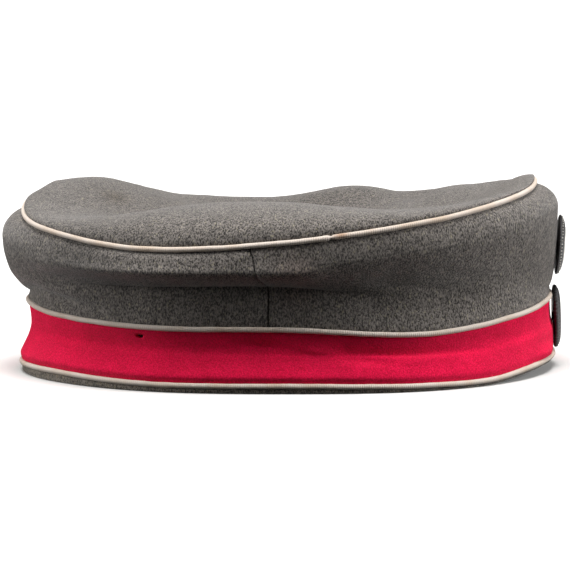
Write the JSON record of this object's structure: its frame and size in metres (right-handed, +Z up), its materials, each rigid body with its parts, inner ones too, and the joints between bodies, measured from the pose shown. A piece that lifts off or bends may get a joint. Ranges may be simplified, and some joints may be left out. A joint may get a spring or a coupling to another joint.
{
  "type": "field cap",
  "caption": "Peakless wool field cap with a crimson band between off-white pipings, a softly sagging crown and stamped cockades at the front.",
  "frame": {"origin": "on the resting surface, under the middle of the bounding box", "axes": "+X towards the front of the cap, -Y towards the wearer's right side, +Z up"},
  "size_m": [0.2152, 0.1648, 0.0731],
  "materials": {
    "grey_wool": "fulled wool cloth",
    "crimson_wool": "fulled wool cloth",
    "piping_wool": "ribbed wool cord",
    "black_lacquer": "worn lacquer",
    "silver_ring": "worn silvered",
    "red_lacquer": "worn lacquer"
  },
  "bodies": {
    "root": {"base_band": "grey_wool", "band": "crimson_wool", "band_piping_lower": "piping_wool", "band_piping_upper": "piping_wool", "crown_panel_rear": "grey_wool", "crown_panel_front": "grey_wool", "crown_piping": "piping_wool", "crown_top": "grey_wool", "cockade_upper_dish": "black_lacquer", "cockade_upper_ring": "silver_ring", "cockade_upper_boss": "red_lacquer", "cockade_lower_dish": "black_lacquer", "cockade_lower_ring": "silver_ring", "cockade_lower_boss": "black_lacquer"}
  },
  "joints": []
}
